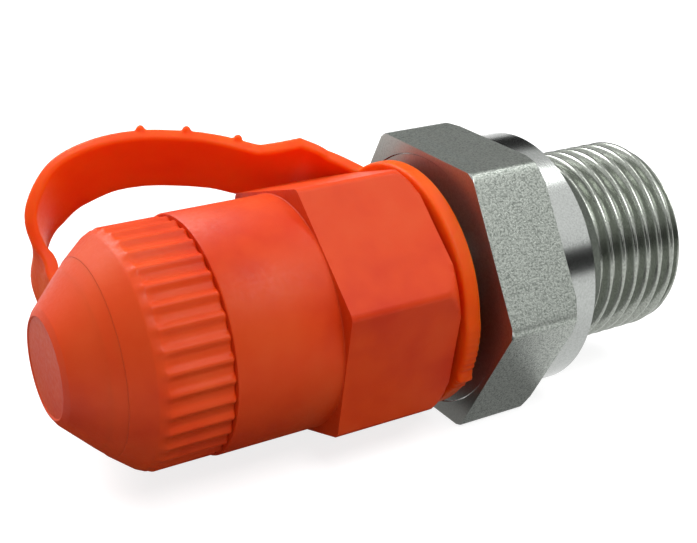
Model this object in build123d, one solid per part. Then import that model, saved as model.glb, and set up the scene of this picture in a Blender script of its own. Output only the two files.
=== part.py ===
"""Test point coupling with a screwed-on dust cap and its retaining strap.

The axis of revolution is X. The origin is the centre of the collar's sealing face, the threaded
stud points along +X, the capped test connection along -X. The coupling lies on one flat of its
steel hexagon, with +Z up. All sizes are in millimetres.
"""
from build123d import *
import math
import os

# --- stud and hexagon (G 3/8 pipe thread, fine thread form left out of the solid) ---
STUD_R = 8.33
STUD_LENGTH = 11.6
STUD_CHAMFER = 0.5
UNDERCUT_R = 7.3
UNDERCUT_LENGTH = 2.0
COLLAR_R = 10.81
COLLAR_LENGTH = 3.27
COLLAR_CHAMFER = 0.35
HEX_FLATS = 22.0
HEX_LENGTH = 6.6
HEX_CHAMFER_RADIAL = 0.75
HEX_CHAMFER_AXIAL = 0.45
HEX_BREAK = 0.25

# --- neck, test thread (M16 x 2) and nose ---
NECK_R = 6.5
NECK_LENGTH = 2.9
TEST_THREAD_R = 7.95
TEST_THREAD_LENGTH = 11.0
TEST_CHAMFER = 0.9
NOSE_R = 5.9
NOSE_LENGTH = 7.0
NOSE_CHAMFER = 0.5
O_RING_WIRE = 1.6
O_RING_SQUEEZE = 0.15

# --- bore and valve ---
PASSAGE_R = 2.5
CHAMBER_R = 4.3
CHAMBER_LENGTH = 17.2
INSERT_LENGTH = 7.0
INSERT_BORE_R = 1.55
INSERT_RECESS_R = 2.4
INSERT_RECESS_LENGTH = 2.0
INSERT_RING_WIRE = 1.1
SEAT_LENGTH = 1.2
PIN_CLEARANCE = 0.25
PIN_RECESS = 0.9
POPPET_R = 3.0
POPPET_LENGTH = 3.4
POPPET_RING_WIRE = 0.9
POPPET_STEM_R = 1.1
SPRING_WIRE_R = 0.25
SPRING_TURNS = 4.0
SPRING_GAP = 0.06
SPRING_SEAT_LENGTH = 1.0
SPRING_SEAT_HOLES = 4
SPRING_SEAT_HOLE_R = 0.65
SPRING_SEAT_CENTRE_R = 1.25

# --- dust cap ---
CAP_START = 12.65
CAP_HEX_FLATS = 19.1
CAP_HEX_END = 22.75
CAP_HEX_TURN = 11.0
CAP_HEX_ROUNDING_RADIAL = 1.9
CAP_HEX_ROUNDING_AXIAL = 2.2
CAP_BARREL_R = 9.36
RIB_START = 31.3
RIB_R = 9.2
RIB_ROOT_DEPTH = 0.38
RIB_COUNT = 36
RIB_PHASE = 7.5
SHOULDER_T = 36.4
SHOULDER_R = 9.0
SHOULDER_END = 37.1
SHOULDER_END_R = 8.85
CAP_FRONT_T = 38.75
CAP_FRONT_R = 7.5
CAP_THREAD_CLEARANCE = 0.08
CAP_THREAD_RELIEF = 0.6
CAP_NOSE_CLEARANCE = 0.35
CAP_INNER_END = 33.0

# --- strap button at the tip ---
EYE_THICKNESS = 0.9
BUTTON_BACK_R = 6.55
BUTTON_FRONT_R = 4.4
BUTTON_LENGTH = 2.5
BUTTON_FILLET = 0.7
BUTTON_SHANK_R = 2.2
BUTTON_BARB_R = 2.75
BUTTON_BARB_LENGTH = 1.1
BUTTON_BARB_SLOPE = 0.33
BUTTON_CLEARANCE = 0.05

# --- strap ---
RING_START = 11.1
RING_THICKNESS = 1.4
RING_R = 10.2
RING_CLEARANCE = 0.15
STRAP_WIDTH = 6.1
STRAP_THICKNESS = 1.1
BAND_CLEARANCE = 0.12
BAND_EAR_STATION = 2
BAND_EAR = 1.4
# Places of the band's middle: (x, distance from the axis, angle above the horizontal in degrees).
BAND_STATIONS = [
    (-11.8, 9.4, 35.7), (-14.6, 11.8, 36.5), (-17.4, 12.4, 37.2), (-20.2, 13.3, 37.4),
    (-22.8, 14.8, 36.7), (-25.5, 16.3, 34.1), (-28.5, 17.5, 31.6), (-31.5, 18.1, 28.6),
    (-34.3, 18.1, 23.6), (-36.3, 17.1, 17.0), (-37.2, 15.6, 8.4), (-37.35, 13.5, 0.0),
    (-37.5, 11.2, -7.8), (-38.35, 8.9, -12.4), (-39.2, 6.6, -14.4),
]
EYE_BACK_R = 7.45
EYE_FRONT_R = 6.65

# --- places along the axis, measured from the sealing face towards the nose ---
HEX_END = COLLAR_LENGTH + HEX_LENGTH
NECK_END = HEX_END + NECK_LENGTH
TEST_THREAD_END = NECK_END + TEST_THREAD_LENGTH
NOSE_END = TEST_THREAD_END + NOSE_LENGTH
CHAMBER_START = NOSE_END - CHAMBER_LENGTH
INSERT_START = NOSE_END - INSERT_LENGTH
O_RING_T = TEST_THREAD_END + NOSE_LENGTH / 2
BUTTON_T = CAP_FRONT_T + EYE_THICKNESS
POPPET_BACK = INSERT_START - POPPET_LENGTH
SPRING_SEAT_END = CHAMBER_START + SPRING_SEAT_LENGTH


def turned(outline):
    """Solid of revolution about X from (distance towards the nose, radius) corners."""
    corners = [(-t, r) for t, r in outline]
    face = make_face(Polyline(*corners, close=True).edges())
    return revolve(face, Axis.X)


def rod(start, end, radius):
    """Plain cylinder on the axis between two distances."""
    return turned([(start, 0), (start, radius), (end, radius), (end, 0)])


def tube(start, end, outer, inner):
    """Plain tube on the axis between two distances."""
    return turned([(start, inner), (start, outer), (end, outer), (end, inner)])


def torus(t, centre_r, wire_r):
    """O-ring on the axis."""
    section = Pos(-t, centre_r) * Circle(wire_r)
    return revolve(section, Axis.X)


def hexagon(start, end, flats, turn):
    """Hexagonal prism on the axis; turn moves a corner away from +Z, towards -Y."""
    corner_r = flats / math.sqrt(3)
    section = RegularPolygon(corner_r, 6, rotation=turn)
    # The plane's local X is world Z and its normal points towards the nose.
    plane = Plane(origin=(-start, 0, 0), x_dir=(0, 0, 1), z_dir=(-1, 0, 0))
    return extrude(plane * section, end - start)


def ribs(start, end, peak_r, depth, count, phase):
    """Cutter that leaves rounded ribs on a cylinder: one groove between each two ribs."""
    pitch = 360 / count
    groove_r = peak_r * math.radians(pitch) * 0.30
    cutters = []
    for index in range(count):
        angle = math.radians(phase + (index + 0.5) * pitch)
        centre_r = peak_r - depth + groove_r
        groove = Cylinder(groove_r, end - start, rotation=(0, 90, 0))
        place = Pos(-(start + end) / 2, -centre_r * math.sin(angle), centre_r * math.cos(angle))
        cutters.append(place * groove)
    return Compound(children=cutters)


def ring_groove(t, wire, surface_r):
    """Square groove for an O-ring that stands proud of a surface by the squeeze."""
    half = wire * 0.58
    return tube(t - half, t + half, surface_r + 1, surface_r - wire + O_RING_SQUEEZE)


def coupling_body():
    """Steel body turned from hexagon bar, with the stepped bore right through."""
    stud = turned([
        (-STUD_LENGTH, 0), (-STUD_LENGTH, STUD_R - STUD_CHAMFER),
        (-STUD_LENGTH + STUD_CHAMFER, STUD_R), (-UNDERCUT_LENGTH - STUD_CHAMFER, STUD_R),
        (-UNDERCUT_LENGTH, UNDERCUT_R), (0, UNDERCUT_R), (0, COLLAR_R - COLLAR_CHAMFER),
        (COLLAR_CHAMFER, COLLAR_R), (COLLAR_LENGTH, COLLAR_R), (COLLAR_LENGTH, 0),
    ])
    corner_r = HEX_FLATS / math.sqrt(3)
    bar = hexagon(COLLAR_LENGTH, HEX_END, HEX_FLATS, 30)
    corner_chamfer = turned([
        (COLLAR_LENGTH, 0), (COLLAR_LENGTH, corner_r - HEX_CHAMFER_RADIAL),
        (COLLAR_LENGTH + HEX_CHAMFER_AXIAL, corner_r), (HEX_END - HEX_BREAK, corner_r),
        (HEX_END, corner_r - HEX_BREAK), (HEX_END, 0),
    ])
    test_end = turned([
        (HEX_END, 0), (HEX_END, NECK_R), (NECK_END, NECK_R),
        (NECK_END + TEST_CHAMFER, TEST_THREAD_R), (TEST_THREAD_END - TEST_CHAMFER, TEST_THREAD_R),
        (TEST_THREAD_END, TEST_THREAD_R - TEST_CHAMFER), (TEST_THREAD_END, NOSE_R),
        (NOSE_END - NOSE_CHAMFER, NOSE_R), (NOSE_END, NOSE_R - NOSE_CHAMFER), (NOSE_END, 0),
    ])
    solid = stud + (bar & corner_chamfer) + test_end
    solid -= ring_groove(O_RING_T, O_RING_WIRE, NOSE_R)
    solid -= rod(-STUD_LENGTH, NOSE_END, PASSAGE_R)
    return solid - rod(CHAMBER_START, NOSE_END, CHAMBER_R)


def nose_o_ring():
    """Seal on the outside of the nose."""
    wire_r = O_RING_WIRE / 2
    return torus(O_RING_T, NOSE_R + O_RING_SQUEEZE - wire_r, wire_r)


def insert_ring_t():
    """Place of the insert's own seal."""
    return INSERT_START + INSERT_LENGTH / 2


def valve_insert():
    """Sleeve screwed into the nose; its inner end is the valve seat."""
    sleeve = turned([
        (INSERT_START, INSERT_BORE_R + SEAT_LENGTH), (INSERT_START, CHAMBER_R),
        (NOSE_END, CHAMBER_R), (NOSE_END, INSERT_RECESS_R),
        (NOSE_END - INSERT_RECESS_LENGTH, INSERT_RECESS_R),
        (NOSE_END - INSERT_RECESS_LENGTH, INSERT_BORE_R), (INSERT_START + SEAT_LENGTH, INSERT_BORE_R),
    ])
    wire = INSERT_RING_WIRE
    return sleeve - tube(insert_ring_t() - wire * 0.6, insert_ring_t() + wire * 0.6,
                         CHAMBER_R + 1, CHAMBER_R - wire)


def insert_o_ring():
    """Static seal between insert and body."""
    wire_r = INSERT_RING_WIRE / 2
    return torus(insert_ring_t(), CHAMBER_R - wire_r, wire_r)


def poppet_ring_t():
    """Place of the seal on the poppet head."""
    return INSERT_START - POPPET_RING_WIRE / 2


def poppet():
    """Valve head with the pin that the test hose pushes, and a stem that guides the spring."""
    pin_r = INSERT_BORE_R - PIN_CLEARANCE
    shoulder_r = INSERT_BORE_R + SEAT_LENGTH - PIN_CLEARANCE
    ring_inner_r = POPPET_R - POPPET_RING_WIRE
    return turned([
        (POPPET_BACK - POPPET_STEM_R, 0), (POPPET_BACK - POPPET_STEM_R, POPPET_STEM_R * 0.7),
        (POPPET_BACK - POPPET_STEM_R * 0.7, POPPET_STEM_R), (POPPET_BACK, POPPET_STEM_R),
        (POPPET_BACK, POPPET_R), (INSERT_START - POPPET_RING_WIRE, POPPET_R),
        (INSERT_START - POPPET_RING_WIRE, ring_inner_r), (INSERT_START, min(ring_inner_r, shoulder_r)),
        (INSERT_START + SEAT_LENGTH - PIN_CLEARANCE, pin_r), (NOSE_END - PIN_RECESS, pin_r),
        (NOSE_END - PIN_RECESS, 0),
    ])


def poppet_o_ring():
    """Seal between the poppet head and the seat."""
    wire_r = POPPET_RING_WIRE / 2
    return torus(poppet_ring_t(), POPPET_R - wire_r, wire_r)


def spring_seat():
    """Perforated disc at the bottom of the valve chamber."""
    disc = tube(CHAMBER_START, SPRING_SEAT_END, CHAMBER_R - PIN_CLEARANCE / 2, SPRING_SEAT_CENTRE_R)
    hole_circle = (CHAMBER_R + SPRING_SEAT_CENTRE_R) / 2 - SPRING_SEAT_HOLE_R * 0.7
    for index in range(SPRING_SEAT_HOLES):
        angle = 2 * math.pi * (index + 0.5) / SPRING_SEAT_HOLES
        hole = Cylinder(SPRING_SEAT_HOLE_R, 4 * SPRING_SEAT_LENGTH, rotation=(0, 90, 0))
        disc -= Pos(-CHAMBER_START, hole_circle * math.sin(angle), hole_circle * math.cos(angle)) * hole
    return disc


def valve_spring():
    """Compression spring between its seat and the poppet head."""
    length = POPPET_BACK - SPRING_SEAT_END - 2 * SPRING_WIRE_R - SPRING_GAP
    coil_r = (POPPET_STEM_R + POPPET_R) / 2
    helix = Helix(pitch=length / SPRING_TURNS, height=length, radius=coil_r)
    section = Plane(origin=helix @ 0, z_dir=helix % 0) * Circle(SPRING_WIRE_R)
    coil = sweep(section, path=helix, is_frenet=True)
    return Pos(-SPRING_SEAT_END - SPRING_WIRE_R, 0, 0) * Rot(0, -90, 0) * coil


def cap_outside():
    """Hexagon with rounded rear corners, barrel, ribbed band, shoulder and cone."""
    corner_r = CAP_HEX_FLATS / math.sqrt(3)
    bar = hexagon(CAP_START, CAP_HEX_END, CAP_HEX_FLATS, CAP_HEX_TURN)
    rounding = turned([
        (CAP_START, 0), (CAP_START, corner_r - CAP_HEX_ROUNDING_RADIAL),
        (CAP_START + CAP_HEX_ROUNDING_AXIAL / 3, corner_r - CAP_HEX_ROUNDING_RADIAL / 2),
        (CAP_START + CAP_HEX_ROUNDING_AXIAL, corner_r), (CAP_HEX_END, corner_r), (CAP_HEX_END, 0),
    ])
    barrel = rod(CAP_HEX_END, RIB_START, CAP_BARREL_R)
    ribbed = rod(RIB_START, SHOULDER_T, RIB_R)
    ribbed -= ribs(RIB_START, SHOULDER_T, RIB_R, RIB_ROOT_DEPTH, RIB_COUNT, RIB_PHASE)
    front = turned([
        (SHOULDER_T, 0), (SHOULDER_T, SHOULDER_R), (SHOULDER_END, SHOULDER_END_R),
        (CAP_FRONT_T, CAP_FRONT_R), (CAP_FRONT_T, 0),
    ])
    return (bar & rounding) + barrel + ribbed + front


def dust_cap():
    """Cap with a plain bore over the test thread, one over the nose and the button's hole."""
    thread_r = TEST_THREAD_R + CAP_THREAD_CLEARANCE
    thread_end = TEST_THREAD_END + CAP_THREAD_RELIEF
    nose_r = NOSE_R + CAP_NOSE_CLEARANCE
    barb_r = BUTTON_BARB_R + BUTTON_CLEARANCE
    barb_end = CAP_INNER_END + BUTTON_BARB_LENGTH
    shank_r = BUTTON_SHANK_R + BUTTON_CLEARANCE
    return cap_outside() - turned([
        (CAP_START, 0), (CAP_START, thread_r), (thread_end, thread_r), (thread_end, nose_r),
        (CAP_INNER_END, nose_r), (CAP_INNER_END, barb_r), (barb_end, barb_r), (barb_end, shank_r),
        (CAP_FRONT_T, shank_r), (CAP_FRONT_T, 0),
    ])


def strap_button():
    """Snap-in button: conical head outside, shank through the eye and the cap, barb inside."""
    barb_end = CAP_INNER_END + BUTTON_BARB_LENGTH - BUTTON_CLEARANCE
    front = BUTTON_T + BUTTON_LENGTH
    return turned([
        (CAP_INNER_END, 0), (CAP_INNER_END, BUTTON_SHANK_R),
        (barb_end - BUTTON_BARB_SLOPE, BUTTON_BARB_R), (barb_end, BUTTON_BARB_R),
        (barb_end, BUTTON_SHANK_R), (BUTTON_T, BUTTON_SHANK_R), (BUTTON_T, BUTTON_BACK_R),
        (front - BUTTON_FILLET / 2, BUTTON_FRONT_R), (front, BUTTON_FRONT_R - BUTTON_FILLET), (front, 0),
    ])


def band_section(index):
    """Rectangle across the band at one station, square to the way the band runs there."""
    def centre(step):
        x, away, lean = BAND_STATIONS[min(max(step, 0), len(BAND_STATIONS) - 1)]
        angle = math.radians(lean)
        return Vector(x, away * math.cos(angle), away * math.sin(angle))

    along = (centre(index + 1) - centre(index - 1)).normalized()
    lean = math.radians(BAND_STATIONS[index][2])
    across = Vector(0, -math.sin(lean), math.cos(lean))
    across = (across - along * across.dot(along)).normalized()
    plane = Plane(origin=centre(index), x_dir=across, z_dir=along)
    ear = BAND_EAR if index == BAND_EAR_STATION else 0
    return plane * Pos(ear / 2, 0) * Rectangle(STRAP_WIDTH + ear, STRAP_THICKNESS)


def cap_strap():
    """One flexible moulding: neck ring, twisted band and nose eye."""
    band = loft([band_section(index) for index in range(len(BAND_STATIONS))])
    ring_bore_r = NECK_R + RING_CLEARANCE
    ring = tube(RING_START, RING_START + RING_THICKNESS, RING_R, ring_bore_r)
    eye = turned([
        (CAP_FRONT_T, BUTTON_SHANK_R), (CAP_FRONT_T, EYE_BACK_R),
        (BUTTON_T, EYE_FRONT_R), (BUTTON_T, BUTTON_SHANK_R),
    ])
    # The band keeps clear of the neck inside the ring, of the cap and of the button.
    corner_r = CAP_HEX_FLATS / math.sqrt(3) + BAND_CLEARANCE
    band -= rod(RING_START - STRAP_WIDTH, RING_START, RING_R + STRAP_WIDTH)
    band -= rod(RING_START, CAP_START, ring_bore_r + STRAP_THICKNESS / 2)
    band -= turned([
        (RING_START + RING_THICKNESS, 0), (RING_START + RING_THICKNESS, corner_r - CAP_HEX_ROUNDING_RADIAL),
        (CAP_START, corner_r - CAP_HEX_ROUNDING_RADIAL),
        (CAP_START + CAP_HEX_ROUNDING_AXIAL / 3, corner_r - CAP_HEX_ROUNDING_RADIAL / 2),
        (CAP_START + CAP_HEX_ROUNDING_AXIAL, corner_r), (CAP_HEX_END + BAND_CLEARANCE, corner_r),
        (CAP_HEX_END + BAND_CLEARANCE, CAP_BARREL_R + BAND_CLEARANCE),
        (SHOULDER_T, CAP_BARREL_R + BAND_CLEARANCE), (SHOULDER_END, SHOULDER_END_R + BAND_CLEARANCE),
        (CAP_FRONT_T, CAP_FRONT_R), (CAP_FRONT_T, 0),
    ])
    band -= rod(BUTTON_T, BUTTON_T + STRAP_WIDTH, CAP_BARREL_R)
    return ring + eye + band


PIECES = {
    "coupling_body": coupling_body,
    "nose_o_ring": nose_o_ring,
    "valve_insert": valve_insert,
    "insert_o_ring": insert_o_ring,
    "poppet": poppet,
    "poppet_o_ring": poppet_o_ring,
    "spring_seat": spring_seat,
    "valve_spring": valve_spring,
    "dust_cap": dust_cap,
    "strap_button": strap_button,
    "cap_strap": cap_strap,
}

os.makedirs("parts", exist_ok=True)
for name, make in PIECES.items():
    solid = make()
    solid.label = name
    export_step(solid, f"parts/{name}.step")
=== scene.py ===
"""Looks of the test point coupling: plated steel body, orange-red dust cap, strap and button."""

import logging
import math
from dataclasses import dataclass
from enum import Enum, IntEnum
from typing import Callable, Iterable

import bmesh
import bpy
from mathutils import Matrix, Vector


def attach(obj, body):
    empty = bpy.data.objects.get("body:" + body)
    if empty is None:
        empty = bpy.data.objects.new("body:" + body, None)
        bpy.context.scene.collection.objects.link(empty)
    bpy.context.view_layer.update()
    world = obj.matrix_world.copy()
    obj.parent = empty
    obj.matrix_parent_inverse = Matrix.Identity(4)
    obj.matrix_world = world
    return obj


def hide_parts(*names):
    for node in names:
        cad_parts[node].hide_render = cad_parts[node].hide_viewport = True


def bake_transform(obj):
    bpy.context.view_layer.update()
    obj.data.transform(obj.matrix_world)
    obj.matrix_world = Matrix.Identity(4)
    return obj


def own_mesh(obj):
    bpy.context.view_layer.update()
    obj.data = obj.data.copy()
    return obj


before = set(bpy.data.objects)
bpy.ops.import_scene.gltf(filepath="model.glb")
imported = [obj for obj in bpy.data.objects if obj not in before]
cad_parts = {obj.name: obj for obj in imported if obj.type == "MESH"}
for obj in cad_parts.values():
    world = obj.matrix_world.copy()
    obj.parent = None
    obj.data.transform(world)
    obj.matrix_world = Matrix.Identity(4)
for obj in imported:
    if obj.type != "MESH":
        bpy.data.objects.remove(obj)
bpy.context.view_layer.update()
LOG = logging.getLogger("coupling")
MM = 0.001
WELD_MM = 1e-5  # points closer than this become one
TOUCH_MM = 1e-6  # places closer than this count as the same
TURNED_DEG = 30.0  # edges of turned steel sharper than this stay sharp
MOULDED_DEG = 40.0  # and those of mouldings
Point = tuple[float, float, float]
Outline = list[tuple[float, float]]
RadiusRule = Callable[[float, float, float], float]


# ------------------------------------------------------------------ colours and node helper
def linear(hex_colour: str) -> tuple[float, float, float, float]:
    """Turn an sRGB hex colour into linear RGBA.

    Args:
        hex_colour: six hex digits, with or without a leading hash.

    Returns:
        Linear red, green and blue, and an alpha of 1.
    """
    digits = hex_colour.lstrip("#")
    channels = [int(digits[i:i + 2], 16) / 255 for i in (0, 2, 4)]
    decoded = [c / 12.92 if c <= 0.04045 else ((c + 0.055) / 1.055) ** 2.4 for c in channels]
    return decoded[0], decoded[1], decoded[2], 1.0


@dataclass
class NodeNet:
    """A node tree under construction."""

    tree: bpy.types.NodeTree

    def find(self, kind: str) -> bpy.types.Node:
        """Find the first node of a type."""
        return next(node for node in self.tree.nodes if node.type == kind)

    def add(self, kind: str, settings: dict | None = None,
            inputs: dict | None = None) -> bpy.types.Node:
        """Add a node with its settings and its inputs.

        Args:
            kind: Blender's node class name.
            settings: node attributes to set.
            inputs: socket name or index to a constant or to the output socket to link.

        Returns:
            The new node.
        """
        node = self.tree.nodes.new(kind)
        for key, value in (settings or {}).items():
            setattr(node, key, value)
        self.link(node, inputs or {})
        return node

    def link(self, node: bpy.types.Node, inputs: dict) -> None:
        """Set or link the inputs of a node.

        Args:
            node: the node whose sockets are set.
            inputs: socket name or index to a constant or to an output socket.
        """
        for key, value in inputs.items():
            socket = node.inputs[key]
            if isinstance(value, bpy.types.NodeSocket):
                self.tree.links.new(value, socket)
            else:
                socket.default_value = value

    def ramp(self, factor: bpy.types.NodeSocket,
             stops: list[tuple[float, str]]) -> bpy.types.NodeSocket:
        """Colour ramp over a factor.

        Args:
            factor: the socket that drives the ramp.
            stops: position and sRGB hex colour of each stop.

        Returns:
            The ramp's colour output.
        """
        node = self.add("ShaderNodeValToRGB", inputs={"Fac": factor})
        elements = node.color_ramp.elements
        while len(elements) < len(stops):
            elements.new(0.5)
        for element, (position, colour) in zip(elements, stops):
            element.position = position
            element.color = linear(colour)
        return node.outputs["Color"]

    def shown(self) -> bpy.types.NodeSocket:
        """Factor of 1 for rays from the camera, from mirrors and through clear things, else 0."""
        path = self.add("ShaderNodeLightPath")
        factor = path.outputs["Is Camera Ray"]
        for kind in ("Is Transmission Ray", "Is Glossy Ray"):
            largest = self.add("ShaderNodeMath", {"operation": "MAXIMUM"}, {
                0: factor, 1: path.outputs[kind]})
            factor = largest.outputs[0]
        return factor


class Shader(NodeNet):
    """A material under construction, with its principled shader."""

    def __init__(self, name: str) -> None:
        """Create the material and find its principled shader.

        Args:
            name: the material's name.
        """
        self.material = bpy.data.materials.new(name)
        self.material.use_nodes = True
        super().__init__(self.material.node_tree)
        self.surface = self.find("BSDF_PRINCIPLED")


# ------------------------------------------------------------------ finishes
@dataclass(frozen=True)
class WaxyPlastic:
    """Injection-moulded low-density polyethylene: soft waxy gloss, light passes in a little.

    The moulding has faint flow marks and a fine sparkle where the mould was spark-eroded.
    """

    name: str
    face: str = "#D8420C"
    deep: str = "#CB3204"
    pale: str = "#DC4D19"
    roughness: float = 0.46
    gloss_level: float = 0.22
    depth_weight: float = 0.2
    depth_mm: float = 0.7
    cloud_mm: float = 7.0
    grain_mm: float = 0.35
    grain_depth_mm: float = 0.02

    def build(self) -> bpy.types.Material:
        """Build the material."""
        shader = Shader(self.name)
        place = shader.add("ShaderNodeTexCoord").outputs["Object"]
        cloud = shader.add("ShaderNodeTexNoise", inputs={
            "Vector": place, "Scale": 1 / (self.cloud_mm * MM), "Detail": 3.0, "Roughness": 0.55})
        colour = shader.ramp(cloud.outputs["Fac"], [
            (0.3, self.deep), (0.5, self.face), (0.72, self.pale)])
        grain = shader.add("ShaderNodeTexNoise", inputs={
            "Vector": place, "Scale": 1 / (self.grain_mm * MM), "Detail": 2.0, "Roughness": 0.6})
        gloss = shader.add("ShaderNodeMapRange", inputs={
            "Value": grain.outputs["Fac"], "From Min": 0.3, "From Max": 0.7,
            "To Min": self.roughness - 0.06, "To Max": self.roughness + 0.08})
        bump = shader.add("ShaderNodeBump", inputs={
            "Height": grain.outputs["Fac"], "Distance": self.grain_depth_mm * MM,
            "Strength": 0.5})
        shader.link(shader.surface, {
            "Base Color": colour, "Roughness": gloss.outputs["Result"],
            "Normal": bump.outputs["Normal"], "Subsurface Weight": self.depth_weight,
            "Subsurface Scale": self.depth_mm * MM, "Subsurface Radius": (1.0, 0.3, 0.08),
            "Specular IOR Level": self.gloss_level, "IOR": 1.51})
        return shader.material


class SteelZone(Enum):
    """How the steel under the zinc was made."""

    DRAWN = "drawn"
    TURNED = "turned"


@dataclass(frozen=True)
class ZincSteel:
    """Clear-zinc-plated free-cutting steel: grey, grainy where drawn, bright where turned."""

    name: str
    zone: SteelZone
    tint: str = "#A8ADA6"
    shade: str = "#676D67"
    roughness: float = 0.34
    grain_mm: float = 0.17
    grain_depth_mm: float = 0.06
    line_mm: float = 0.12
    line_stretch: float = 0.01
    line_depth_share: float = 0.12

    def build(self) -> bpy.types.Material:
        """Build the material."""
        shader = Shader(self.name)
        place = shader.add("ShaderNodeTexCoord").outputs["Object"]
        grain = shader.add("ShaderNodeTexNoise", inputs={
            "Vector": place, "Scale": 1 / (self.grain_mm * MM), "Detail": 4.0, "Roughness": 0.65})
        colour = shader.ramp(grain.outputs["Fac"], [(0.32, self.shade), (0.6, self.tint)])
        spread = 0.07 if self.zone is SteelZone.DRAWN else 0.02
        gloss = shader.add("ShaderNodeMapRange", inputs={
            "Value": grain.outputs["Fac"], "From Min": 0.3, "From Max": 0.7,
            "To Min": self.roughness + spread, "To Max": self.roughness - spread})
        height = grain.outputs["Fac"]
        depth = self.grain_depth_mm
        if self.zone is SteelZone.TURNED:
            stretch = shader.add("ShaderNodeMapping", inputs={
                "Vector": place, "Scale": (1.0, self.line_stretch, self.line_stretch)})
            lines = shader.add("ShaderNodeTexNoise", inputs={
                "Vector": stretch.outputs["Vector"], "Scale": 1 / (self.line_mm * MM),
                "Detail": 2.0})
            height = lines.outputs["Fac"]
            depth = self.grain_depth_mm * self.line_depth_share
        bump = shader.add("ShaderNodeBump", inputs={
            "Height": height, "Distance": depth * MM, "Strength": 0.6})
        shader.link(shader.surface, {
            "Base Color": colour, "Metallic": 1.0, "Roughness": gloss.outputs["Result"],
            "Normal": bump.outputs["Normal"]})
        return shader.material


@dataclass(frozen=True)
class Rubber:
    """Black nitrile rubber, moulded smooth and slightly oily."""

    name: str = "nitrile_rubber"
    grain_mm: float = 0.3
    grain_depth_mm: float = 0.01

    def build(self) -> bpy.types.Material:
        """Build the material."""
        shader = Shader(self.name)
        place = shader.add("ShaderNodeTexCoord").outputs["Object"]
        noise = shader.add("ShaderNodeTexNoise", inputs={
            "Vector": place, "Scale": 1 / (self.grain_mm * MM)})
        colour = shader.ramp(noise.outputs["Fac"], [(0.3, "#151515"), (0.7, "#1E1E1E")])
        bump = shader.add("ShaderNodeBump", inputs={
            "Height": noise.outputs["Fac"], "Distance": self.grain_depth_mm * MM,
            "Strength": 0.4})
        shader.link(shader.surface, {
            "Base Color": colour, "Roughness": 0.45, "Normal": bump.outputs["Normal"]})
        return shader.material


# ------------------------------------------------------------------ mesh helpers
def placed(name: str, data: bpy.types.ID) -> bpy.types.Object:
    """Make an object of some data and link it to the scene."""
    item = bpy.data.objects.new(name, data)
    bpy.context.collection.objects.link(item)
    return item


def mesh_object(name: str, shape: bmesh.types.BMesh, smooth_angle: float) -> bpy.types.Object:
    """Turn a bmesh in millimetres into an object in metres at the origin.

    Args:
        name: the piece's name.
        shape: the bmesh, freed here.
        smooth_angle: edges sharper than this many degrees stay sharp.

    Returns:
        The new object, linked to the scene.
    """
    bmesh.ops.remove_doubles(shape, verts=shape.verts, dist=WELD_MM)
    bmesh.ops.dissolve_degenerate(shape, edges=shape.edges, dist=TOUCH_MM)
    bmesh.ops.recalc_face_normals(shape, faces=shape.faces)
    bmesh.ops.scale(shape, vec=(MM, MM, MM), verts=shape.verts)
    mesh = bpy.data.meshes.new(name)
    shape.to_mesh(mesh)
    shape.free()
    piece = placed(name, mesh)
    mesh.shade_smooth()
    mesh.set_sharp_from_angle(angle=math.radians(smooth_angle))
    return piece


def refined(outline: Outline, step: float, spans: Iterable[tuple[float, float]]) -> Outline:
    """Add points along the runs of an outline that lie within given distances along the axis.

    Args:
        outline: corners as (distance towards the nose, radius).
        step: longest run left inside a span.
        spans: start and end distances of the stretches to refine.

    Returns:
        The outline with the added points.
    """
    points: Outline = []
    for (t0, r0), (t1, r1) in zip(outline, outline[1:]):
        points.append((t0, r0))
        middle = (t0 + t1) / 2
        if any(low <= middle <= high for low, high in spans):
            pieces = max(1, math.ceil(math.hypot(t1 - t0, r1 - r0) / step))
            for index in range(1, pieces):
                share = index / pieces
                points.append((t0 + share * (t1 - t0), r0 + share * (r1 - r0)))
    points.append(outline[-1])
    return points


def rounded(outline: Outline, radii: dict[int, float], segments: int = 4) -> Outline:
    """Round some corners of an outline with arcs.

    Args:
        outline: corners as (distance towards the nose, radius).
        radii: corner index to arc radius.
        segments: runs in each arc.

    Returns:
        The outline with those corners rounded.
    """
    longest_share = 0.49
    points: Outline = []
    for index, corner in enumerate(outline):
        if index not in radii or index in (0, len(outline) - 1):
            points.append(corner)
            continue
        here = Vector(corner)
        to_last = Vector(outline[index - 1]) - here
        to_next = Vector(outline[index + 1]) - here
        half_turn = to_last.angle(to_next) / 2
        reach = min(radii[index] / math.tan(half_turn), longest_share * to_last.length,
                    longest_share * to_next.length)
        start = here + to_last.normalized() * reach
        end = here + to_next.normalized() * reach
        for part in range(segments + 1):
            share = part / segments
            bend = start.lerp(here, share).lerp(here.lerp(end, share), share)
            points.append((bend.x, bend.y))
    return points


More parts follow.
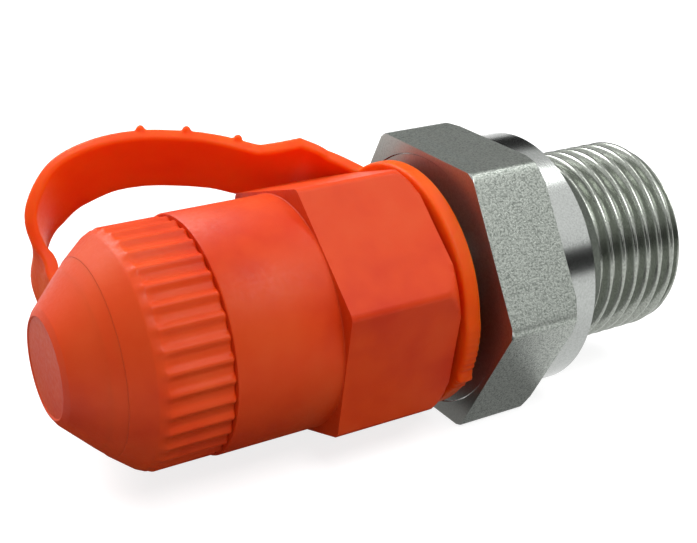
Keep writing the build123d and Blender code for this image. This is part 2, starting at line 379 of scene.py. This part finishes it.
def turned(outline: Outline, steps: int, rule: RadiusRule | None = None) -> bmesh.types.BMesh:
    """Spin an outline about the X axis and let a rule move its points in or out.

    Args:
        outline: corners as (distance towards the nose, radius).
        steps: divisions of the full turn.
        rule: new radius from distance, radius and azimuth (0 at +Z, growing towards -Y).

    Returns:
        The spun bmesh, in millimetres.
    """
    shape = bmesh.new()
    row = [shape.verts.new((-t, 0.0, r)) for t, r in outline]
    edges = [shape.edges.new(pair) for pair in zip(row, row[1:])]
    bmesh.ops.spin(shape, geom=row + edges, cent=(0, 0, 0), axis=(1, 0, 0), angle=math.tau,
                   steps=steps, use_merge=True, use_duplicate=False)
    bmesh.ops.remove_doubles(shape, verts=shape.verts, dist=WELD_MM)
    if rule is not None:
        for vert in shape.verts:
            radius = math.hypot(vert.co.y, vert.co.z)
            if radius < TOUCH_MM:
                continue
            azimuth = math.atan2(-vert.co.y, vert.co.z)
            scale = rule(-vert.co.x, radius, azimuth) / radius
            vert.co.y *= scale
            vert.co.z *= scale
    return shape


def hexagon_radius(flats: float, azimuth: float, corner_azimuth: float, softness: float) -> float:
    """Radius of a hexagon with softly rounded corners.

    Args:
        flats: size across flats.
        azimuth: direction, in radians.
        corner_azimuth: direction of one corner, in radians.
        softness: how far a corner is cut back by its rounding.

    Returns:
        The radius in that direction.
    """
    sector = math.pi / 3
    kept_share = 0.25
    off_flat = (azimuth - corner_azimuth) % sector - sector / 2
    radius = flats / 2 / math.cos(off_flat)
    limit = flats / math.sqrt(3) - softness
    return radius if radius < limit else limit + (radius - limit) * kept_share


def smooth_step(low: float, high: float, value: float) -> float:
    """Ease from 0 at low to 1 at high."""
    share = min(1.0, max(0.0, (value - low) / (high - low)))
    return share * share * (3 - 2 * share)


def whitworth_wave(phase: float) -> float:
    """Height from 0 to 1 of a rounded thread over one pitch, with its crest at phase 0."""
    triangle = abs((phase % 1.0) - 0.5) * 2
    steepness = 1.3
    return smooth_step(0.0, 1.0, (triangle - 0.5) * steepness + 0.5)


# ------------------------------------------------------------------ pieces
class BodySlot(IntEnum):
    """Material slots of the steel body."""

    TURNED = 0
    DRAWN = 1
    THREADED = 2
    FACED = 3


@dataclass
class CouplingBody:
    """The turned steel body: threaded stud, collar, hexagon, neck, test thread and nose."""

    stud_r: float = 8.33
    stud_length: float = 11.6
    stud_pitch: float = 1.337
    stud_depth: float = 0.80
    stud_chamfer: float = 0.5
    undercut_r: float = 7.3
    undercut_length: float = 2.0
    undercut_run: tuple[float, float] = (0.5, 0.2)
    collar_r: float = 10.81
    collar_length: float = 3.27
    collar_chamfer: float = 0.35
    collar_break: float = 0.12
    hex_flats: float = 22.0
    hex_length: float = 6.6
    corner_cut: float = 0.75
    corner_run: float = 0.45
    corner_break: float = 0.25
    hex_softness: float = 0.17
    hex_corner_deg: float = 30.0
    face_ring_r: float = 10.55
    face_ring_depth: float = 0.08
    face_ring_slope: float = 0.1
    neck_r: float = 6.5
    neck_length: float = 2.9
    test_r: float = 7.95
    test_pitch: float = 2.0
    test_depth: float = 1.1
    test_length: float = 11.0
    test_chamfer: float = 0.9
    nose_r: float = 5.9
    nose_length: float = 7.0
    nose_chamfer: float = 0.5
    ring_wire: float = 1.6
    groove_share: float = 0.58
    ring_proud: float = 0.15
    bore_r: float = 2.5
    bore_chamfer: float = 0.4
    chamber_r: float = 4.3
    chamber_length: float = 17.2
    steps: int = 360
    thread_step: float = 0.11
    corner_step: float = 0.08
    thread_margin: float = 0.05
    thread_reach: tuple[float, float] = (0.05, 0.3)
    side_normal: float = 0.9
    end_normal: float = 0.5
    undercut_finish: float = 0.3
    faced_depth: float = 0.1

    def __post_init__(self) -> None:
        """Work out the places along the axis."""
        self.hex_end = self.collar_length + self.hex_length
        self.neck_end = self.hex_end + self.neck_length
        self.test_end = self.neck_end + self.test_length
        self.nose_end = self.test_end + self.nose_length
        self.chamber_start = self.nose_end - self.chamber_length

    def outline(self) -> Outline:
        """Outline of the body, from the bore's mouth in the stud round to the bore again."""
        corner_r = self.hex_flats / math.sqrt(3)
        groove = self.ring_wire * self.groove_share
        groove_t = self.test_end + self.nose_length / 2
        groove_r = self.nose_r + self.ring_proud - self.ring_wire
        lead, slope = self.undercut_run
        face_t = self.hex_end - self.face_ring_depth
        return [
            (self.chamber_start, self.bore_r), (-self.stud_length + self.bore_chamfer, self.bore_r),
            (-self.stud_length, self.bore_r + self.bore_chamfer),
            (-self.stud_length, self.stud_r - self.stud_chamfer),
            (-self.stud_length + self.stud_chamfer, self.stud_r),
            (-self.undercut_length - lead, self.stud_r),
            (-self.undercut_length + slope, self.undercut_r), (0.0, self.undercut_r),
            (0.0, self.collar_r - self.collar_chamfer), (self.collar_chamfer, self.collar_r),
            (self.collar_length - self.collar_break, self.collar_r),
            (self.collar_length, self.collar_r - self.collar_break),
            (self.collar_length, corner_r - self.corner_cut),
            (self.collar_length + self.corner_run, corner_r),
            (self.hex_end - self.corner_break, corner_r),
            (self.hex_end, corner_r - self.corner_break), (self.hex_end, self.face_ring_r),
            (face_t, self.face_ring_r - self.face_ring_slope), (face_t, self.neck_r),
            (self.neck_end, self.neck_r),
            (self.neck_end + self.test_chamfer, self.test_r),
            (self.test_end - self.test_chamfer, self.test_r),
            (self.test_end, self.test_r - self.test_chamfer), (self.test_end, self.nose_r),
            (groove_t - groove, self.nose_r), (groove_t - groove, groove_r),
            (groove_t + groove, groove_r), (groove_t + groove, self.nose_r),
            (self.nose_end - self.nose_chamfer, self.nose_r),
            (self.nose_end, self.nose_r - self.nose_chamfer), (self.nose_end, self.chamber_r),
            (self.chamber_start, self.chamber_r), (self.chamber_start, self.bore_r),
        ]

    def radius(self, t: float, r: float, azimuth: float) -> float:
        """Radius rule: threads on the two threaded stretches, six flats on the hexagon."""
        turn = azimuth / math.tau
        stud_reach, test_reach = self.thread_reach
        on_hexagon = self.collar_length - TOUCH_MM <= t <= self.hex_end + TOUCH_MM
        if on_hexagon and r > self.collar_r:
            return min(r, hexagon_radius(self.hex_flats, azimuth, math.radians(self.hex_corner_deg),
                                         self.hex_softness))
        if -self.stud_length < t < -self.undercut_length and r > self.undercut_r - stud_reach:
            wave = whitworth_wave(t / self.stud_pitch - turn)
            return min(r, self.stud_r - self.stud_depth * (1 - wave))
        if self.neck_end < t < self.test_end and r > self.nose_r + test_reach:
            wave = whitworth_wave(t / self.test_pitch - turn)
            return min(r, self.test_r - self.test_depth * (1 - wave))
        return r

    def on_thread(self, t: float) -> bool:
        """Say whether a place along the axis is on a thread, clear of its ends."""
        margin = self.thread_margin
        return (-self.stud_length + margin < t < -self.undercut_length
                or self.neck_end + margin < t < self.test_end - margin)

    def build(self) -> bpy.types.Object:
        """Build the body."""
        threads = [(-self.stud_length, -self.undercut_length), (self.neck_end, self.test_end)]
        corners = [(self.collar_length, self.collar_length + self.corner_run),
                   (self.hex_end - self.corner_break, self.hex_end)]
        fine = refined(self.outline(), self.thread_step, threads)
        fine = refined(fine, self.corner_step, corners)
        piece = mesh_object("steel_body", turned(fine, self.steps, self.radius), TURNED_DEG)
        # The thread flanks are one smooth surface, whatever the mesh's steps along them.
        sharp = piece.data.attributes["sharp_edge"].data
        points = piece.data.vertices
        for edge in piece.data.edges:
            middle = (points[edge.vertices[0]].co + points[edge.vertices[1]].co) / 2
            if self.on_thread(-middle.x / MM):
                sharp[edge.index].value = False
        return piece

    def dress(self, piece: bpy.types.Object) -> None:
        """Give the body its finishes, in the order of its slots: drawn flats, the rest turned."""
        finishes = (
            ZincSteel("turned_zinc_steel", SteelZone.TURNED, "#A6A9A6", "#989B98", 0.2),
            ZincSteel("drawn_zinc_steel", SteelZone.DRAWN, roughness=0.36),
            # Same plated turned steel as the collar, painted a darker grey: painted shade of the
            # thread's grooves; its roughness is its own.
            ZincSteel("threaded_zinc_steel_painted_darker", SteelZone.TURNED, "#9DA19A", "#7C8078", 0.24),
            ZincSteel("faced_zinc_steel", SteelZone.TURNED, "#A3A39E", "#91918C", 0.36),
        )
        for finish in finishes:
            piece.data.materials.append(finish.build())
        for face in piece.data.polygons:
            across = Vector((0, face.normal.y, face.normal.z)).length
            t = -face.center.x / MM
            reach = Vector((0, face.center.y, face.center.z)).length / MM
            on_hexagon = self.collar_length < t < self.hex_end and reach > self.collar_r
            on_stud = t < -self.undercut_length + self.undercut_finish
            if on_hexagon and across > self.side_normal:
                face.material_index = BodySlot.DRAWN
            elif on_stud or self.neck_end < t < self.test_end:
                face.material_index = BodySlot.THREADED
            elif abs(t - self.hex_end) < self.faced_depth and across < self.end_normal:
                face.material_index = BodySlot.FACED
        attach(piece, "coupling")
        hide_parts("coupling_body")


@dataclass
class DustCap:
    """The moulded cap: hexagon, barrel, band of ribs, shoulder and cone, hollow inside."""

    start: float = 12.65
    hex_flats: float = 19.1
    hex_end: float = 22.75
    hex_turn: float = 11.0
    hex_softness: float = 0.14
    hex_reach: float = 0.6
    hex_margin: float = 1e-4
    hex_edge: float = 0.06
    rounding: float = 1.9
    rounding_run: float = 2.2
    rounding_steps: int = 8
    barrel_r: float = 9.36
    barrel_fillet: float = 0.05
    rib_start: float = 31.3
    rib_r: float = 9.2
    rib_depth: float = 0.3
    rib_count: int = 36
    rib_phase: float = 7.5
    rib_lead: float = 0.12
    rib_drop: float = 0.1
    rib_gap: float = 0.02
    rib_root_share: float = 0.6
    rib_rise: float = 0.2
    rib_crest_power: float = 1.7
    rib_fade: float = 0.6
    rib_tail: float = 1.6
    shoulder_t: float = 36.4
    front_t: float = 38.75
    front_r: float = 7.5
    shoulder_end: float = 37.1
    shoulder_r: float = 8.85
    shoulder_rounding: float = 0.5
    cone_rounding: float = 1.0
    front_rounding: float = 0.04
    bore_r: float = 8.03
    bore_end: float = 25.4
    nose_bore_r: float = 6.25
    inner_end: float = 33.0
    barb_r: float = 2.8
    barb_length: float = 1.1
    shank_r: float = 2.25
    steps: int = 720
    band_step: float = 0.3
    band_beyond: float = 2.0

    def corner_limit(self, t: float) -> float:
        """Radius to which the hexagon's corners are rounded off towards the rear."""
        corner_r = self.hex_flats / math.sqrt(3)
        share = min(1.0, max(0.0, (t - self.start) / self.rounding_run))
        return corner_r - self.rounding * (1 - math.sqrt(1 - (1 - share) ** 2))

    def outline(self) -> Outline:
        """Outline from the bore's mouth over the outside to the button hole and back inside."""
        corner_r = self.hex_flats / math.sqrt(3)
        outside: Outline = [(self.start, self.bore_r), (self.start, self.corner_limit(self.start))]
        for index in range(1, self.rounding_steps + 1):
            t = self.start + self.rounding_run * index / self.rounding_steps
            outside.append((t, self.corner_limit(t)))
        rib_root_r = self.rib_r - self.rib_depth * self.rib_root_share
        rib_foot = (self.rib_start + self.rib_gap, rib_root_r)
        outside += [
            (self.hex_end - self.hex_edge, corner_r), (self.hex_end, corner_r - self.hex_edge),
            (self.hex_end, self.barrel_r + self.barrel_fillet),
            (self.hex_end + self.barrel_fillet, self.barrel_r),
            (self.rib_start - self.rib_lead, self.barrel_r),
            (self.rib_start, self.barrel_r - self.rib_drop), rib_foot,
        ]
        band = rounded([
            rib_foot, (self.rib_start + self.rib_rise, self.rib_r),
            (self.shoulder_t, self.rib_r), (self.shoulder_end, self.shoulder_r),
            (self.front_t, self.front_r), (self.front_t, self.shank_r),
        ], {2: self.shoulder_rounding, 3: self.cone_rounding, 4: self.front_rounding}, segments=5)
        inside: Outline = [
            (self.inner_end + self.barb_length, self.shank_r),
            (self.inner_end + self.barb_length, self.barb_r), (self.inner_end, self.barb_r),
            (self.inner_end, self.nose_bore_r), (self.bore_end, self.nose_bore_r),
            (self.bore_end, self.bore_r), (self.start, self.bore_r),
        ]
        span = (rib_foot[0], self.shoulder_t + self.band_beyond)
        return refined(outside + band[1:], self.band_step, [span]) + inside

    def radius(self, t: float, r: float, azimuth: float) -> float:
        """Radius rule: hexagon over the rear part and ribs over the band."""
        if t <= self.hex_end + self.hex_margin and r > self.barrel_r - self.hex_reach:
            return min(r, hexagon_radius(self.hex_flats, azimuth, math.radians(self.hex_turn),
                                         self.hex_softness))
        if self.rib_start < t < self.shoulder_t + self.rib_tail and r > self.front_r:
            turn = azimuth - math.radians(self.rib_phase)
            crest = (0.5 + 0.5 * math.cos(turn * self.rib_count)) ** self.rib_crest_power
            fade = 1 - smooth_step(self.shoulder_t - self.rib_fade, self.shoulder_end, t)
            return r - self.rib_depth * (1 - crest) * fade
        return r

    def build(self) -> bpy.types.Object:
        """Build the cap."""
        shape = turned(self.outline(), self.steps, self.radius)
        return mesh_object("cap_moulding", shape, MOULDED_DEG)

    def dress(self, piece: bpy.types.Object) -> None:
        """Give the cap its plastic and its body."""
        piece.data.materials.append(WaxyPlastic("cap_polyethylene").build())
        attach(piece, "cap")
        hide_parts("dust_cap")


@dataclass
class StrapButton:
    """The snap-in button: small cone with a flat, thin-rimmed face, shank and barb."""

    back_t: float = 39.642
    back_r: float = 6.62
    front_t: float = 42.2
    front_r: float = 4.4
    shank_r: float = 2.2
    barb_t: float = 33.0
    barb_end: float = 34.05
    barb_r: float = 2.75
    barb_lead: float = 0.35
    dish: float = 0.12
    rim: float = 0.55
    edge_run: float = 0.35
    edge_rounding: float = 0.5
    rim_rounding: float = 0.3
    steps: int = 128

    def build(self) -> bpy.types.Object:
        """Build the button."""
        face_r = self.front_r - self.rim
        dish_t = self.front_t - self.dish
        corners: Outline = [
            (self.barb_t, 0.0), (self.barb_t, self.shank_r),
            (self.barb_end - self.barb_lead, self.barb_r), (self.barb_end, self.barb_r),
            (self.barb_end, self.shank_r), (self.back_t, self.shank_r), (self.back_t, self.back_r),
            (self.front_t - self.edge_run, self.front_r), (self.front_t, face_r),
            (dish_t, face_r - self.dish), (dish_t, 0.0),
        ]
        outline = rounded(corners, {7: self.edge_rounding, 8: self.rim_rounding}, segments=5)
        return mesh_object("button_moulding", turned(outline, self.steps), MOULDED_DEG)

    def dress(self, piece: bpy.types.Object) -> None:
        """Give the button its plastic and its body."""
        piece.data.materials.append(WaxyPlastic("button_polyethylene").build())
        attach(piece, "button")
        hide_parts("strap_button")


@dataclass(frozen=True)
class BandStation:
    """One place along the band's middle line.

    The band twists: lean is the angle above the horizontal of the line from the axis to its middle.
    """

    x: float
    away: float
    lean: float
    ear: float = 0.0

    def centre(self) -> Vector:
        """Middle of the band here."""
        angle = math.radians(self.lean)
        return Vector((self.x, self.away * math.cos(angle), self.away * math.sin(angle)))

    def across(self) -> Vector:
        """Direction across the band's width, towards its upper edge."""
        angle = math.radians(self.lean)
        return Vector((0, -math.sin(angle), math.cos(angle)))


class StrapSlot(IntEnum):
    """Material slots of the strap."""

    EYE = 0
    BAND = 1


@dataclass
class CapStrap:
    """One flexible moulding: neck ring with its lug, twisted band and nose eye."""

    ring_start: float = 11.1
    ring_end: float = 12.5
    ring_r: float = 10.2
    ring_bore_r: float = 6.65
    ring_rounding: float = 0.3
    ring_steps: int = 360
    flash_span: tuple[float, float] = (84.0, 128.0)
    flash_margin: float = 0.4
    flash_fade: float = 5.0
    flash_depth: float = 0.22
    flash_level: float = 0.5
    flash_waves: tuple[Point, ...] = ((0.3, 1.9, 0.0), (0.2, 4.3, 1.0))
    tooth_azimuth: float = 116.0
    tooth_width: float = 1.6
    tooth_depth: float = 0.35
    eye_start: float = 38.76
    eye_end: float = 39.642
    eye_back_r: float = 7.45
    eye_front_r: float = 6.62
    eye_bore_r: float = 2.25
    eye_steps: int = 160
    width: float = 6.1
    thickness: float = 1.1
    softness: float = 0.16
    nubs: tuple[float, ...] = (3.6, 4.9, 6.0, 9.2)
    nub_r: float = 0.36
    steps_between: int = 9
    voxel: float = 0.12
    smoothing: float = 0.5
    smoothing_rounds: int = 3
    stations: tuple[BandStation, ...] = (
        BandStation(-11.8, 9.4, 35.7), BandStation(-14.6, 11.8, 36.5),
        BandStation(-17.4, 12.4, 37.2, 1.5), BandStation(-20.2, 13.3, 37.4),
        BandStation(-22.8, 14.8, 36.7), BandStation(-25.5, 16.3, 34.1),
        BandStation(-28.5, 17.5, 31.6), BandStation(-31.5, 18.1, 28.6),
        BandStation(-34.3, 18.1, 23.6), BandStation(-36.3, 17.1, 17.0),
        BandStation(-37.2, 15.6, 8.4), BandStation(-37.35, 13.5, 0.0),
        BandStation(-37.5, 11.2, -7.8), BandStation(-38.35, 8.9, -12.4),
        BandStation(-39.2, 6.6, -14.4),
    )

    def line(self) -> list[BandStation]:
        """Close stations on a smooth curve through the given ones."""
        rows = [(s.x, s.away, s.lean) for s in self.stations]
        rows = [rows[0], *rows, rows[-1]]
        close = []
        for index in range(1, len(rows) - 2):
            before, start, end, after = rows[index - 1:index + 3]
            for step in range(self.steps_between):
                u = step / self.steps_between
                values = [0.5 * (2 * b + (c - a) * u + (2 * a - 5 * b + 4 * c - d) * u * u
                                 + (3 * b - a - 3 * c + d) * u ** 3)
                          for a, b, c, d in zip(before, start, end, after)]
                ears = self.stations[index - 1].ear, self.stations[index].ear
                close.append(BandStation(*values, ear=ears[0] * (1 - u) + ears[1] * u))
        return [*close, self.stations[-1]]

    def band(self) -> bmesh.types.BMesh:
        """Band swept along its line with a rounded-rectangle section."""
        line = self.line()
        shape = bmesh.new()
        half_w = self.width / 2
        half_t = self.thickness / 2
        soft = self.softness
        rows = []
        for index, station in enumerate(line):
            top = half_w + station.ear
            section = [
                (half_t, top - soft), (half_t - soft, top), (-half_t + soft, top),
                (-half_t, top - soft), (-half_t, -half_w + soft), (-half_t + soft, -half_w),
                (half_t - soft, -half_w), (half_t, -half_w + soft),
            ]
            last, following = line[max(index - 1, 0)], line[min(index + 1, len(line) - 1)]
            ahead = following.centre() - last.centre()
            ahead.normalize()
            across = station.across()
            across = (across - ahead * across.dot(ahead)).normalized()
            outward = across.cross(ahead)
            rows.append([shape.verts.new(station.centre() + outward * a + across * b)
                         for a, b in section])
        rings = [[shape.edges.new(pair) for pair in zip(row, row[1:] + row[:1])] for row in rows]
        for first, second in zip(rings, rings[1:]):
            bmesh.ops.bridge_loops(shape, edges=first + second)
        for row in (rows[0], rows[-1]):
            shape.faces.new(row)
        bmesh.ops.recalc_face_normals(shape, faces=shape.faces)
        return shape

    def nub(self, place: float) -> bmesh.types.BMesh:
        """Small stub left by the mould on the band's upper outer edge.

        Args:
            place: how far along the band, counted in stations.
        """
        station = self.line()[round(place * self.steps_between)]
        outward = (station.centre() * Vector((0, 1, 1))).normalized()
        spot = (station.centre() + station.across() * (self.width / 2)
                + outward * self.thickness / 2)
        shape = bmesh.new()
        bmesh.ops.create_icosphere(shape, subdivisions=2, radius=self.nub_r,
                                   matrix=Matrix.Translation(spot))
        return shape

    def neck_ring(self) -> bmesh.types.BMesh:
        """Flat ring round the steel neck."""
        corners: Outline = [
            (self.ring_start, self.ring_bore_r), (self.ring_start, self.ring_r),
            (self.ring_end, self.ring_r), (self.ring_end, self.ring_bore_r),
            (self.ring_start, self.ring_bore_r),
        ]
        outline = rounded(corners, {1: self.ring_rounding, 2: self.ring_rounding})
        return turned(outline, self.ring_steps, self.flash)

    def flash(self, t: float, r: float, azimuth: float) -> float:
        """Radius rule: ragged flash on part of the ring's rim, with one tooth."""
        turn = math.degrees(azimuth) % 360
        start, end = self.flash_span
        if r < self.ring_r - self.flash_margin or not start < turn < end:
            return r
        ragged = self.flash_level
        for height, rate, shift in self.flash_waves:
            ragged += height * math.sin(turn * rate + shift)
        tooth = math.exp(-((turn - self.tooth_azimuth) / self.tooth_width) ** 2)
        fade = self.flash_fade
        ends = smooth_step(start, start + fade, turn) * (1 - smooth_step(end - fade, end, turn))
        return r + (self.flash_depth * ragged + self.tooth_depth * tooth) * ends

    def eye(self) -> bmesh.types.BMesh:
        """Eye under the button, its rim flush with the cone."""
        corners: Outline = [
            (self.eye_start, self.eye_bore_r), (self.eye_start, self.eye_back_r),
            (self.eye_end, self.eye_front_r), (self.eye_end, self.eye_bore_r),
            (self.eye_start, self.eye_bore_r),
        ]
        return turned(corners, self.eye_steps)

    def build(self) -> bpy.types.Object:
        """Build the strap: ring, band and nubs grown together, with the eye added after."""
        shape = self.band()
        add_shape(shape, self.neck_ring())
        for place in self.nubs:
            add_shape(shape, self.nub(place))
        piece = mesh_object("strap_moulding", shape, MOULDED_DEG)
        remesh = piece.modifiers.new("grown_together", "REMESH")
        remesh.mode = "VOXEL"
        remesh.voxel_size = self.voxel * MM
        remesh.use_smooth_shade = True
        smooth = piece.modifiers.new("softened", "SMOOTH")
        smooth.factor = self.smoothing
        smooth.iterations = self.smoothing_rounds
        apply_modifiers(piece)
        whole = bmesh.new()
        whole.from_mesh(piece.data)
        for face in whole.faces:
            face.material_index = StrapSlot.BAND
        eye = self.eye()
        bmesh.ops.scale(eye, vec=(MM, MM, MM), verts=eye.verts)
        add_shape(whole, eye)
        whole.to_mesh(piece.data)
        whole.free()
        piece.data.set_sharp_from_angle(angle=math.radians(MOULDED_DEG))
        return piece

    def dress(self, piece: bpy.types.Object) -> None:
        """Give the strap its plastic, in slot order."""
        finishes = (
            WaxyPlastic("eye_polyethylene"),
            # The band's colours are painted lighter and more orange than the eye's and the cap's,
            # though it is the same plastic: painted light passing through the thin band, on top of
            # its real subsurface.
            WaxyPlastic("strap_polyethylene_painted_lighter", face="#EA5206", deep="#E64804", pale="#EC5C0E",
                        gloss_level=0.14, depth_weight=0.9, depth_mm=2.4),
        )
        for finish in finishes:
            piece.data.materials.append(finish.build())
        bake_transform(piece)
        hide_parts("cap_strap")


def add_shape(shape: bmesh.types.BMesh, part: bmesh.types.BMesh) -> None:
    """Add a part's faces to a shape, and free the part."""
    mesh = bpy.data.meshes.new("part")
    part.to_mesh(mesh)
    part.free()
    shape.from_mesh(mesh)
    bpy.data.meshes.remove(mesh)


def apply_modifiers(piece: bpy.types.Object) -> None:
    """Apply every modifier of a piece to its mesh."""
    graph = bpy.context.evaluated_depsgraph_get()
    mesh = bpy.data.meshes.new_from_object(piece.evaluated_get(graph))
    old = piece.data
    piece.modifiers.clear()
    piece.data = mesh
    bpy.data.meshes.remove(old)
    mesh.name = piece.name


@dataclass
class InnerParts:
    """Valve parts and seals, whose solids already have their true shape.

    The spring stands on its seat and shortens by its stroke as the valve is pushed.
    """

    steel: tuple[str, ...] = ("valve_insert", "poppet", "spring_seat", "valve_spring")
    rubber: tuple[str, ...] = ("nose_o_ring", "insert_o_ring", "poppet_o_ring")
    spring_seat_mm: float = 14.57
    spring_length_mm: float = 5.74
    spring_stroke_mm: float = 2.18

    def dress(self) -> None:
        """Give the solids their finishes, and the spring a mesh of its own."""
        steel = ZincSteel("fine_turned_steel", SteelZone.TURNED, "#BEBEBA", "#ABABA8", 0.22).build()
        rubber = Rubber().build()
        for names, finish in ((self.steel, steel), (self.rubber, rubber)):
            for name in names:
                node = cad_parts[name]
                for place in node.material_slots:
                    place.material = finish
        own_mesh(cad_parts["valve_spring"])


# ------------------------------------------------------------------ studio
@dataclass(frozen=True)
class Lamp:
    """A square area lamp: its place and the length of its side in metres, and its power."""

    name: str
    place: Point
    side: float
    watts: float


@dataclass(frozen=True)
class PaintedReflectionCard:
    """A glowing card that only mirrors see, in metres: a painted dark reflection of a dim room, or
    painted shade of the table under the object.

    It faces its target, and its tone is how bright mirrors see it, as sRGB hex.
    """

    name: str
    place: Point
    size: tuple[float, float]
    target: Point = (0.0, 0.0, 0.0)
    tone: str = "#0C0C0C"


def sheet(name: str, size: tuple[float, float], place: Matrix, shader: Shader) -> bpy.types.Object:
    """Make a flat sheet of one face.

    Args:
        name: the sheet's name.
        size: its width and height in metres.
        place: turns and moves it from the origin, where it lies flat.
        shader: its material.

    Returns:
        The new object, linked to the scene.
    """
    shape = bmesh.new()
    bmesh.ops.create_grid(shape, x_segments=1, y_segments=1, size=0.5)
    bmesh.ops.scale(shape, verts=shape.verts, vec=(size[0], size[1], 1))
    bmesh.ops.transform(shape, verts=shape.verts, matrix=place)
    mesh = bpy.data.meshes.new(name)
    shape.to_mesh(mesh)
    shape.free()
    mesh.materials.append(shader.material)
    return placed(name, mesh)


@dataclass
class Studio:
    """Camera, floor, lamps and world."""

    camera_mm: Point = (-65.33, -81.01, 42.98)
    look: Point = (0.4708, 0.7878, -0.3971)
    up: Point = (0.1969, 0.3449, 0.9178)
    lens_mm: float = 66.31
    sensor_mm: float = 36.0
    clip_start_m: float = 0.005
    floor_z_mm: float = -11.0
    floor_size_m: float = 3.0
    floor_tone: str = "#A8A8A8"
    floor_roughness: float = 0.9
    floor_glow: float = 0.8
    world_level: float = 0.28
    lamp_target: Point = (-0.015, 0.0, 0.0)
    lamps: tuple[Lamp, ...] = (
        Lamp("key", (0.0, -0.27, 0.42), 0.22, 1.38),
        Lamp("top", (0.22, 0.02, 0.40), 0.12, 0.35),
        Lamp("back", (-0.12, 0.32, 0.34), 0.25, 1.9),
        Lamp("fill", (0.35, -0.25, 0.30), 0.40, 0.2),
    )
    cards: tuple[PaintedReflectionCard, ...] = (
        # Painted dark reflections of a dim room, seen only in the steel and in the plastic's gloss.
        PaintedReflectionCard("painted_dark_reflection_behind", (-0.32, -0.45, 0.10), (0.60, 0.30)),
        PaintedReflectionCard("painted_dark_reflection_beyond", (0.28, 0.47, 0.25), (0.50, 0.30)),
        PaintedReflectionCard("painted_dark_reflection_in_front", (0.26, -0.45, 0.075), (0.60, 0.19)),
        # Painted shade: cards on the table under the cap and the hexagon, whose tones paint the
        # shaded table as mirrors see it.
        PaintedReflectionCard("painted_shade_reflection_under_cap", (-0.031, 0.015, -0.01095), (0.038, 0.085),
                 (-0.031, 0.015, 1.0), "#1E1E1E"),
        PaintedReflectionCard("painted_shade_reflection_under_hexagon", (-0.0064, -0.013, -0.01095), (0.0108, 0.028),
                 (-0.0064, -0.013, 1.0), "#A0A0A0"),
    )

    def camera(self) -> None:
        """Place the camera."""
        data = bpy.data.cameras.new("camera")
        data.lens = self.lens_mm
        data.sensor_width = self.sensor_mm
        data.clip_start = self.clip_start_m
        camera = placed("camera", data)
        back = -Vector(self.look).normalized()
        right = Vector(self.up).cross(back).normalized()
        upward = back.cross(right)
        turn = Matrix((right, upward, back)).transposed().to_4x4()
        camera.matrix_world = Matrix.Translation(Vector(self.camera_mm) * MM) @ turn
        bpy.context.scene.camera = camera

    def floor(self) -> None:
        """Lay the floor: white to the camera and to mirrors, plain pale to the light."""
        shader = Shader("pale_floor")
        shader.link(shader.surface, {
            "Base Color": linear(self.floor_tone), "Roughness": self.floor_roughness})
        glow = shader.add("ShaderNodeEmission", inputs={
            "Color": linear("#FFFFFF"), "Strength": self.floor_glow})
        both = shader.add("ShaderNodeAddShader", inputs={
            0: shader.surface.outputs[0], 1: glow.outputs[0]})
        mix = shader.add("ShaderNodeMixShader", inputs={
            "Fac": shader.shown(), 1: shader.surface.outputs[0], 2: both.outputs[0]})
        shader.link(shader.find("OUTPUT_MATERIAL"), {"Surface": mix.outputs[0]})
        floor = sheet("floor", (self.floor_size_m, self.floor_size_m),
                      Matrix.Translation((0, 0, self.floor_z_mm * MM)), shader)

    def painted_reflection_card(self, plan: PaintedReflectionCard) -> None:
        """Put up a card of painted reflection, which glows for mirrors only.

        Args:
            plan: what it is and where it stands.
        """
        shader = Shader(plan.name)
        # Painted reflection: the card glows with its tone, and the camera, shadows and diffuse
        # light pass it by.
        shader.link(shader.surface, {
            "Base Color": linear("#000000"), "Roughness": 1.0, "Specular IOR Level": 0.0,
            "Emission Color": linear(plan.tone), "Emission Strength": 1.0})
        facing = (Vector(plan.target) - Vector(plan.place)).to_track_quat("-Z", "Y")
        place = Matrix.Translation(plan.place) @ facing.to_matrix().to_4x4()
        card = sheet(plan.name, plan.size, place, shader)
        card.visible_camera = False
        card.visible_shadow = False
        card.visible_diffuse = False

    def lamp(self, plan: Lamp) -> None:
        """Hang an area lamp that looks at the object.

        Args:
            plan: what it is and where it hangs.
        """
        data = bpy.data.lights.new(plan.name, "AREA")
        data.size = plan.side
        data.energy = plan.watts
        lamp = placed(plan.name, data)
        lamp.location = plan.place
        facing = (Vector(self.lamp_target) - Vector(plan.place)).to_track_quat("-Z", "Y")
        lamp.rotation_euler = facing.to_euler()

    def world(self) -> None:
        """White surroundings for the camera and for reflections, softer for lighting."""
        world = bpy.data.worlds.new("studio")
        bpy.context.scene.world = world
        world.use_nodes = True
        net = NodeNet(world.node_tree)
        level = net.add("ShaderNodeMapRange", inputs={
            "Value": net.shown(), "To Min": self.world_level, "To Max": 1.0})
        net.link(net.find("BACKGROUND"), {
            "Color": linear("#FFFFFF"), "Strength": level.outputs["Result"]})

    def build(self) -> None:
        """Set up the whole studio."""
        self.camera()
        self.floor()
        for lamp in self.lamps:
            self.lamp(lamp)
        for card in self.cards:
            self.painted_reflection_card(card)
        self.world()
        bpy.context.scene.view_settings.view_transform = "Standard"


def main() -> None:
    """Build and dress every piece, then the studio."""
    logging.basicConfig(level=logging.INFO, format="%(name)s: %(message)s")
    for maker in (CouplingBody(), DustCap(), StrapButton(), CapStrap()):
        piece = maker.build()
        maker.dress(piece)
        LOG.info("%s: %d faces", piece.name, len(piece.data.polygons))
    InnerParts().dress()
    Studio().build()


if __name__ == "__main__":
    main()
